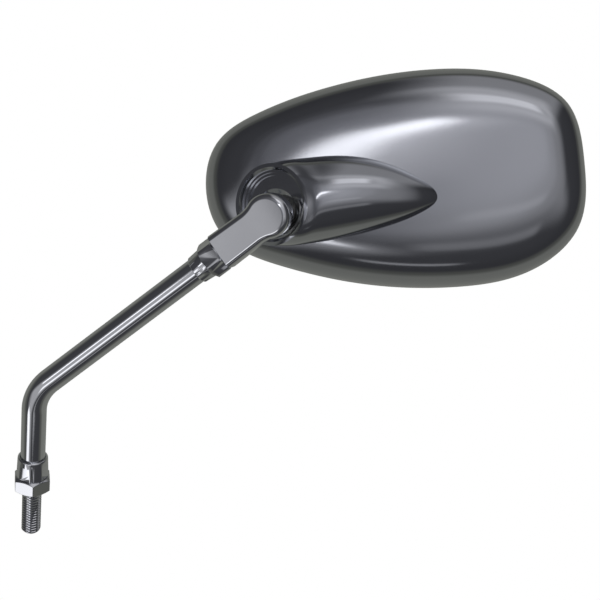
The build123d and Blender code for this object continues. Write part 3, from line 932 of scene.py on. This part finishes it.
plating = effect_group("plating", "TexNoise")
moulding = effect_group("moulding", "TexVoronoi")
print("effects:", [group.name for group in bpy.data.node_groups])


# %% [markdown]
# ## Mixing the finishes
# The stem is bright chrome on steel. The housing is darker, softer chrome on plastic. Inside are
# zinc-plated steel, black nylon, foam and moulded plastic, and round the glass there is rubber. They differ
# in their effect and its values: two colours, the scales of clouds and grain, the lowest and highest
# roughness, and the bump's depth in metres.


# %% Finishes
def new_material(name):
    """Material, its node tree and its shader."""
    material = bpy.data.materials.new(name)
    material.use_nodes = True
    return material, material.node_tree, material.node_tree.nodes["Principled BSDF"]


def finish(name, effect, metal, dark, light, clouds, grain, low, high, bump):
    """Material with one effect group and a bump of a depth in metres."""
    material, tree, shader = new_material(name)
    surface = add_node(tree, "Group", {
        "Dark Colour": (*dark, 1), "Light Colour": (*light, 1), "Cloud Scale": clouds, "Grain Scale": grain,
        "Low Roughness": low, "High Roughness": high}, node_tree=effect).outputs
    relief = add_node(tree, "Bump", {"Distance": bump, "Height": surface["Height"]})
    feed(tree, shader, {
        "Metallic": metal, "Base Color": surface["Colour"], "Roughness": surface["Roughness"],
        "Normal": relief.outputs["Normal"]})
    return material


def grey(tone):
    """A colour without a hue."""
    return tone, tone, tone


bright_chrome = finish(
    "bright_chrome", plating, metal=1, dark=(0.70, 0.71, 0.74), light=(0.80, 0.81, 0.83),
    clouds=60, grain=900, low=0.05, high=0.09, bump=4e-6)
shell_chrome = finish(
    "shell_chrome", plating, metal=1, dark=(0.52, 0.53, 0.56), light=(0.57, 0.58, 0.61),
    clouds=30, grain=500, low=0.09, high=0.13, bump=3e-6)
zinc = finish(
    "zinc_steel", plating, metal=1, dark=(0.48, 0.48, 0.46), light=(0.66, 0.66, 0.62),
    clouds=180, grain=1600, low=0.28, high=0.42, bump=1e-5)
silvered = finish(
    "silvered_glass", plating, metal=1, dark=(0.80, 0.82, 0.83), light=(0.84, 0.86, 0.87),
    clouds=12, grain=300, low=0.012, high=0.03, bump=0.0)
nylon = finish(
    "black_nylon", moulding, metal=0, dark=grey(0.035), light=grey(0.07),
    clouds=90, grain=2600, low=0.45, high=0.6, bump=2e-5)
rubber = finish(
    "rubber", moulding, metal=0, dark=grey(0.018), light=grey(0.04),
    clouds=120, grain=2200, low=0.55, high=0.75, bump=3e-5)
foam = finish(
    "foam", moulding, metal=0, dark=grey(0.07), light=grey(0.14),
    clouds=200, grain=1300, low=0.85, high=0.95, bump=1e-4)
black_plastic = finish(
    "black_plastic", moulding, metal=0, dark=grey(0.03), light=grey(0.06),
    clouds=60, grain=1800, low=0.4, high=0.55, bump=2e-5)
print("finishes:", len(bpy.data.materials))

# %% [markdown]
# ## Dressing the frame
# Each new piece takes the place of its solid and rides on the same body, so it moves when the joint moves.
# The hidden pieces keep their solids and only get a finish.

# %% Dress the pieces
dressed = [
    (foot, "stem_foot", "stem", "bright_chrome", bright_chrome),
    (foot_nut, "foot_lock_nut", "stem", "bright_chrome", bright_chrome),
    (rod, "stem_rod", "stem", "bright_chrome", bright_chrome),
    (neck_nut, "knuckle_lock_nut", "stem", "bright_chrome", bright_chrome),
    (knuckle, "knuckle", "knuckle", "bright_chrome", bright_chrome),
    (ball_stud, "ball_stud", "knuckle", "steel", zinc),
    (head, "housing_shell", "head", "shell_chrome", shell_chrome),
    (glass, "mirror_glass", "head", "mirror_glass", silvered),
    (gasket, "rim_gasket", "head", "rubber", rubber),
]
for piece, node, body, slot, material in dressed:
    piece.data.materials.clear()
    piece.data.materials.append(material)
    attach(piece, body)
    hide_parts(node)
kept = {"front_ball_seat": nylon, "rear_ball_seat": nylon, "ball_cup": zinc, "cup_spring": zinc,
        "holder_plate": zinc, "holder_screws": zinc, "backing_pad": foam, "backing_plate": black_plastic,
        "backing_screws": zinc}
for node, material in kept.items():
    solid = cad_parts[node]
    solid.data.materials.clear()
    solid.data.materials.append(material)
print("dressed:", len(dressed), "kept:", len(kept))

# %% [markdown]
# ## Camera
# The photograph looks straight on to the bright back from about 28 degrees above, tilted a little to one
# side, with a long lens. The camera's three directions are set as they were measured on the stem and the
# stud, and its place is given along them, in millimetres.

# %% Camera
camera_right = Vector((0.9932, -0.0406, 0.1091))
camera_up = Vector((-0.0768, 0.4758, 0.8762))
camera_back = Vector((-0.0875, -0.8786, 0.4695))
camera_place = (110.74, 77.27, 600.0)


def from_camera(right, up, back):
    """Vector given along the camera's three directions."""
    return camera_right * right + camera_up * up + camera_back * back


lens = bpy.data.cameras.new("camera")
lens.lens = 87.1
lens.sensor_width = 36.0
lens.clip_start = 0.01
camera = bpy.data.objects.new("camera", lens)
bpy.context.scene.collection.objects.link(camera)
stand = Matrix((camera_right, camera_up, camera_back)).transposed().to_4x4()
stand.translation = from_camera(*camera_place) / 1000
camera.matrix_world = stand
bpy.context.scene.camera = camera
bpy.context.scene.view_settings.view_transform = "Standard"
print("camera at", [round(c, 3) for c in camera.location])

# %% [markdown]
# ## Studio
# The mirror floats over a pale floor in a white room. Chrome has no look of its own: it shows the room, and
# a white room would make it white all over. So the floor and the lamp are hidden from reflections, and a
# tent that only reflections can see is put up after them.


# %% Floor and light
def math_node(tree, operation, *values):
    """Outcome of a math node that is fed with outputs or plain numbers."""
    return add_node(tree, "Math", dict(enumerate(values)), operation=operation).outputs[0]


def seen_by(tree, *rays):
    """Mask that is 1 for the given kinds of ray."""
    path = add_node(tree, "LightPath", {}).outputs
    mask = path[rays[0]]
    for ray in rays[1:]:
        mask = math_node(tree, "MAXIMUM", mask, path[ray])
    return mask


floor_size = 24
floor_height = -0.26
room_light = 0.75
mirror_middle = Vector((0.09, 0.02, 0.12))
key_place = Vector((-0.5, -0.7, 1.1))

floor = fresh("floor", bpy.ops.mesh.primitive_plane_add, size=floor_size, location=(0, 0, floor_height))
pale, tree, shader = new_material("pale_floor")
feed(tree, shader, {"Base Color": (*grey(0.96), 1), "Roughness": 0.9})
glow = add_node(tree, "Emission", {})
mix = add_node(tree, "MixShader", {
    "Fac": seen_by(tree, "Is Camera Ray", "Is Glossy Ray"), 1: shader.outputs[0], 2: glow.outputs[0]})
feed(tree, tree.nodes["Material Output"], {"Surface": mix.outputs[0]})
floor.data.materials.append(pale)
floor.visible_glossy = False

world = bpy.data.worlds.new("studio")
bpy.context.scene.world = world
world.use_nodes = True
tree = world.node_tree
direct = seen_by(tree, "Is Camera Ray", "Is Glossy Ray", "Is Transmission Ray")
strength = add_node(tree, "MapRange", {"Value": direct, "To Min": room_light})
feed(tree, tree.nodes["Background"], {"Color": (*grey(1), 1), "Strength": strength.outputs["Result"]})

key = bpy.data.lights.new("key", "AREA")
key.energy = 6.0
key.size = 0.8
key_lamp = bpy.data.objects.new("key", key)
bpy.context.scene.collection.objects.link(key_lamp)
key_lamp.location = key_place
key_lamp.rotation_euler = (mirror_middle - key_place).to_track_quat("-Z", "Y").to_euler()
key_lamp.visible_glossy = False

# %% [markdown]
# ## Window mask
# A photographer stands chrome in a tent of dark cloth with soft windows, and each window becomes a streak
# or a patch of light on the metal. Lamps that show in chrome are hard to shape, so a window here is a mask
# over directions: full inside its half length and half width, and fading out over its soft edge.

# %% Window mask
window, entry, leave = new_group("soft_window", [
    ("INPUT", "Vector", "Direction", "Middle", "Along", "Across"),
    ("INPUT", "Float", "Half Length", "Half Width", "Soft Edge"), ("OUTPUT", "Float", "Mask")])


def dot_product(tree, first, second):
    """Share of one direction that points along another."""
    return add_node(tree, "VectorMath", {0: first, 1: second}, operation="DOT_PRODUCT").outputs["Value"]


def fade(along, half):
    """Mask that is full within a half size along a direction and fades to nothing over the soft edge."""
    size = math_node(window, "ABSOLUTE", dot_product(window, entry["Direction"], along))
    end = math_node(window, "ADD", half, entry["Soft Edge"])
    step = add_node(window, "MapRange", {
        "Value": size, "From Min": half, "From Max": end, "To Min": 1.0, "To Max": 0.0},
        interpolation_type="SMOOTHSTEP")
    return step.outputs["Result"]


facing = math_node(window, "GREATER_THAN", dot_product(window, entry["Direction"], entry["Middle"]), 0.0)
opened = math_node(window, "MULTIPLY", fade(entry["Along"], entry["Half Length"]),
                   fade(entry["Across"], entry["Half Width"]))
feed(window, leave, {"Mask": math_node(window, "MULTIPLY", opened, facing)})
print("window inputs:", len(entry) - 1)

# %% [markdown]
# ## Tent
# The tent is a large ball that only reflections can see, so it neither hides the pale floor nor lights it.
# The cloth glows a dim grey on the photographer's side, nearly black to the sides and a dull olive behind.

# %% Tent
tent_radius = 1.6
tent_middle = (0.1, 0.02, 0.12)
tone_axis = (0.08, 0.15, 1.0)
olive, violet = (1.0, 1.02, 0.93), (0.97, 0.98, 1.07)
tone_stops = [(0.0, 0.22, olive), (0.30, 0.20, olive), (0.42, 0.10, olive), (0.52, 0.05, violet),
              (0.80, 0.06, violet), (0.88, 0.075, violet), (0.93, 0.11, violet), (0.97, 0.19, violet),
              (1.0, 0.29, violet)]


def tinted(tint, brightness):
    """A tint at a brightness, as the colour that a node takes."""
    return (*(brightness * part for part in tint), 1)


tent = fresh("tent", bpy.ops.mesh.primitive_uv_sphere_add, segments=64, ring_count=32, radius=tent_radius,
             location=tent_middle)
open_mesh(tent)
bpy.ops.mesh.flip_normals()
bpy.ops.object.mode_set(mode="OBJECT")
polish(tent, angle=60)
cloth, tree, shader = new_material("tent_cloth")
feed(tree, shader, {"Base Color": (*grey(0), 1), "Specular IOR Level": 0.0, "Roughness": 1.0,
                    "Emission Strength": 1.0})
spot = add_node(tree, "TexCoord", {}).outputs["Object"]
direction = add_node(tree, "VectorMath", {0: spot}, operation="NORMALIZE").outputs["Vector"]
depth = dot_product(tree, direction, from_camera(*tone_axis).normalized())
ramp = add_node(tree, "MapRange", {"Value": depth, "From Min": -1.0})
tones = add_node(tree, "ValToRGB", {"Fac": ramp.outputs["Result"]})
tones.color_ramp.interpolation = "EASE"
stops = tones.color_ramp.elements
ends = {0.0: 0, 1.0: -1}
for place, brightness, tint in tone_stops:
    stop = stops[ends[place]] if place in ends else stops.new(place)
    stop.color = tinted(tint, brightness)
tent.data.materials.append(cloth)
tent.visible_camera = tent.visible_diffuse = tent.visible_transmission = tent.visible_shadow = False
print("tones:", len(stops))

# %% [markdown]
# ## Windows of the tent
# Each window is named for what it lights. Its aim is given along the camera's three directions and its run
# along right and up; then come half length, half width, soft edge and brightness. One after the other is
# added to the tones of the cloth.

# %% Windows of the tent
window_tint = (1.0, 1.0, 1.03)
windows = {
    "right side of the dome": ((0.45, 0.10, 0.89), (0, 1), 0.30, 0.25, 0.32, 0.20),
    "halo of the dome's streak": ((-0.02, 0.14, 0.99), (0.74, 0.67), 0.12, 0.0, 0.13, 0.22),
    "dome's streak": ((-0.09, 0.155, 0.98), (0.80, 0.60), 0.16, 0.012, 0.045, 1.7),
    "upper side of the fairing": ((0.32, 0.62, 0.72), (1, 0.1), 0.20, 0.20, 0.20, 0.26),
    "fairing's streak": ((0.24, 0.64, 0.73), (1, 0.1), 0.12, 0.06, 0.11, 0.50),
    "top of the fairing": ((0.40, 0.88, 0.25), (1, -0.3), 0.26, 0.32, 0.25, 0.26),
    "fairing's upper line": ((0.25, -0.17, 0.95), (1, 0), 0.12, 0.01, 0.05, 0.09),
    "fairing's lower line": ((0.26, -0.50, 0.82), (1, 0), 0.18, 0.02, 0.08, 0.15),
    "left side of the stem": ((-0.58, -0.48, 0.66), (0.51, -0.86), 0.30, 0.25, 0.25, 0.36),
    "rod's upper stripe": ((-0.66, -0.20, 0.72), (0.86, 0.51), 0.07, 0.03, 0.05, 1.2),
    "rod's lower stripe": ((-0.32, -0.60, 0.74), (0.86, 0.51), 0.16, 0.05, 0.07, 0.9),
    "left face of the foot nut": ((-0.64, -0.73, 0.26), (0.86, -0.51), 0.09, 0.08, 0.07, 1.1),
    "band on the upright rod": ((0.02, -0.88, 0.46), (1, 0), 0.12, 0.01, 0.06, 0.30),
}
glow = tones.outputs["Color"]
for name, (aim, along, half_length, half_width, soft_edge, brightness) in windows.items():
    middle = from_camera(*aim).normalized()
    run = from_camera(*along, 0)
    run = (run - middle * run.dot(middle)).normalized()
    opening = add_node(tree, "Group", {
        "Direction": direction, "Middle": middle, "Along": run, "Across": middle.cross(run),
        "Half Length": half_length, "Half Width": half_width, "Soft Edge": soft_edge},
        node_tree=window, label=name)
    light = add_node(tree, "Mix", {
        "Factor": opening.outputs["Mask"], "A": glow, "B": tinted(window_tint, brightness)},
        data_type="RGBA", blend_type="ADD")
    glow = light.outputs["Result"]
feed(tree, shader, {"Emission Color": glow})
print("windows:", len(windows))
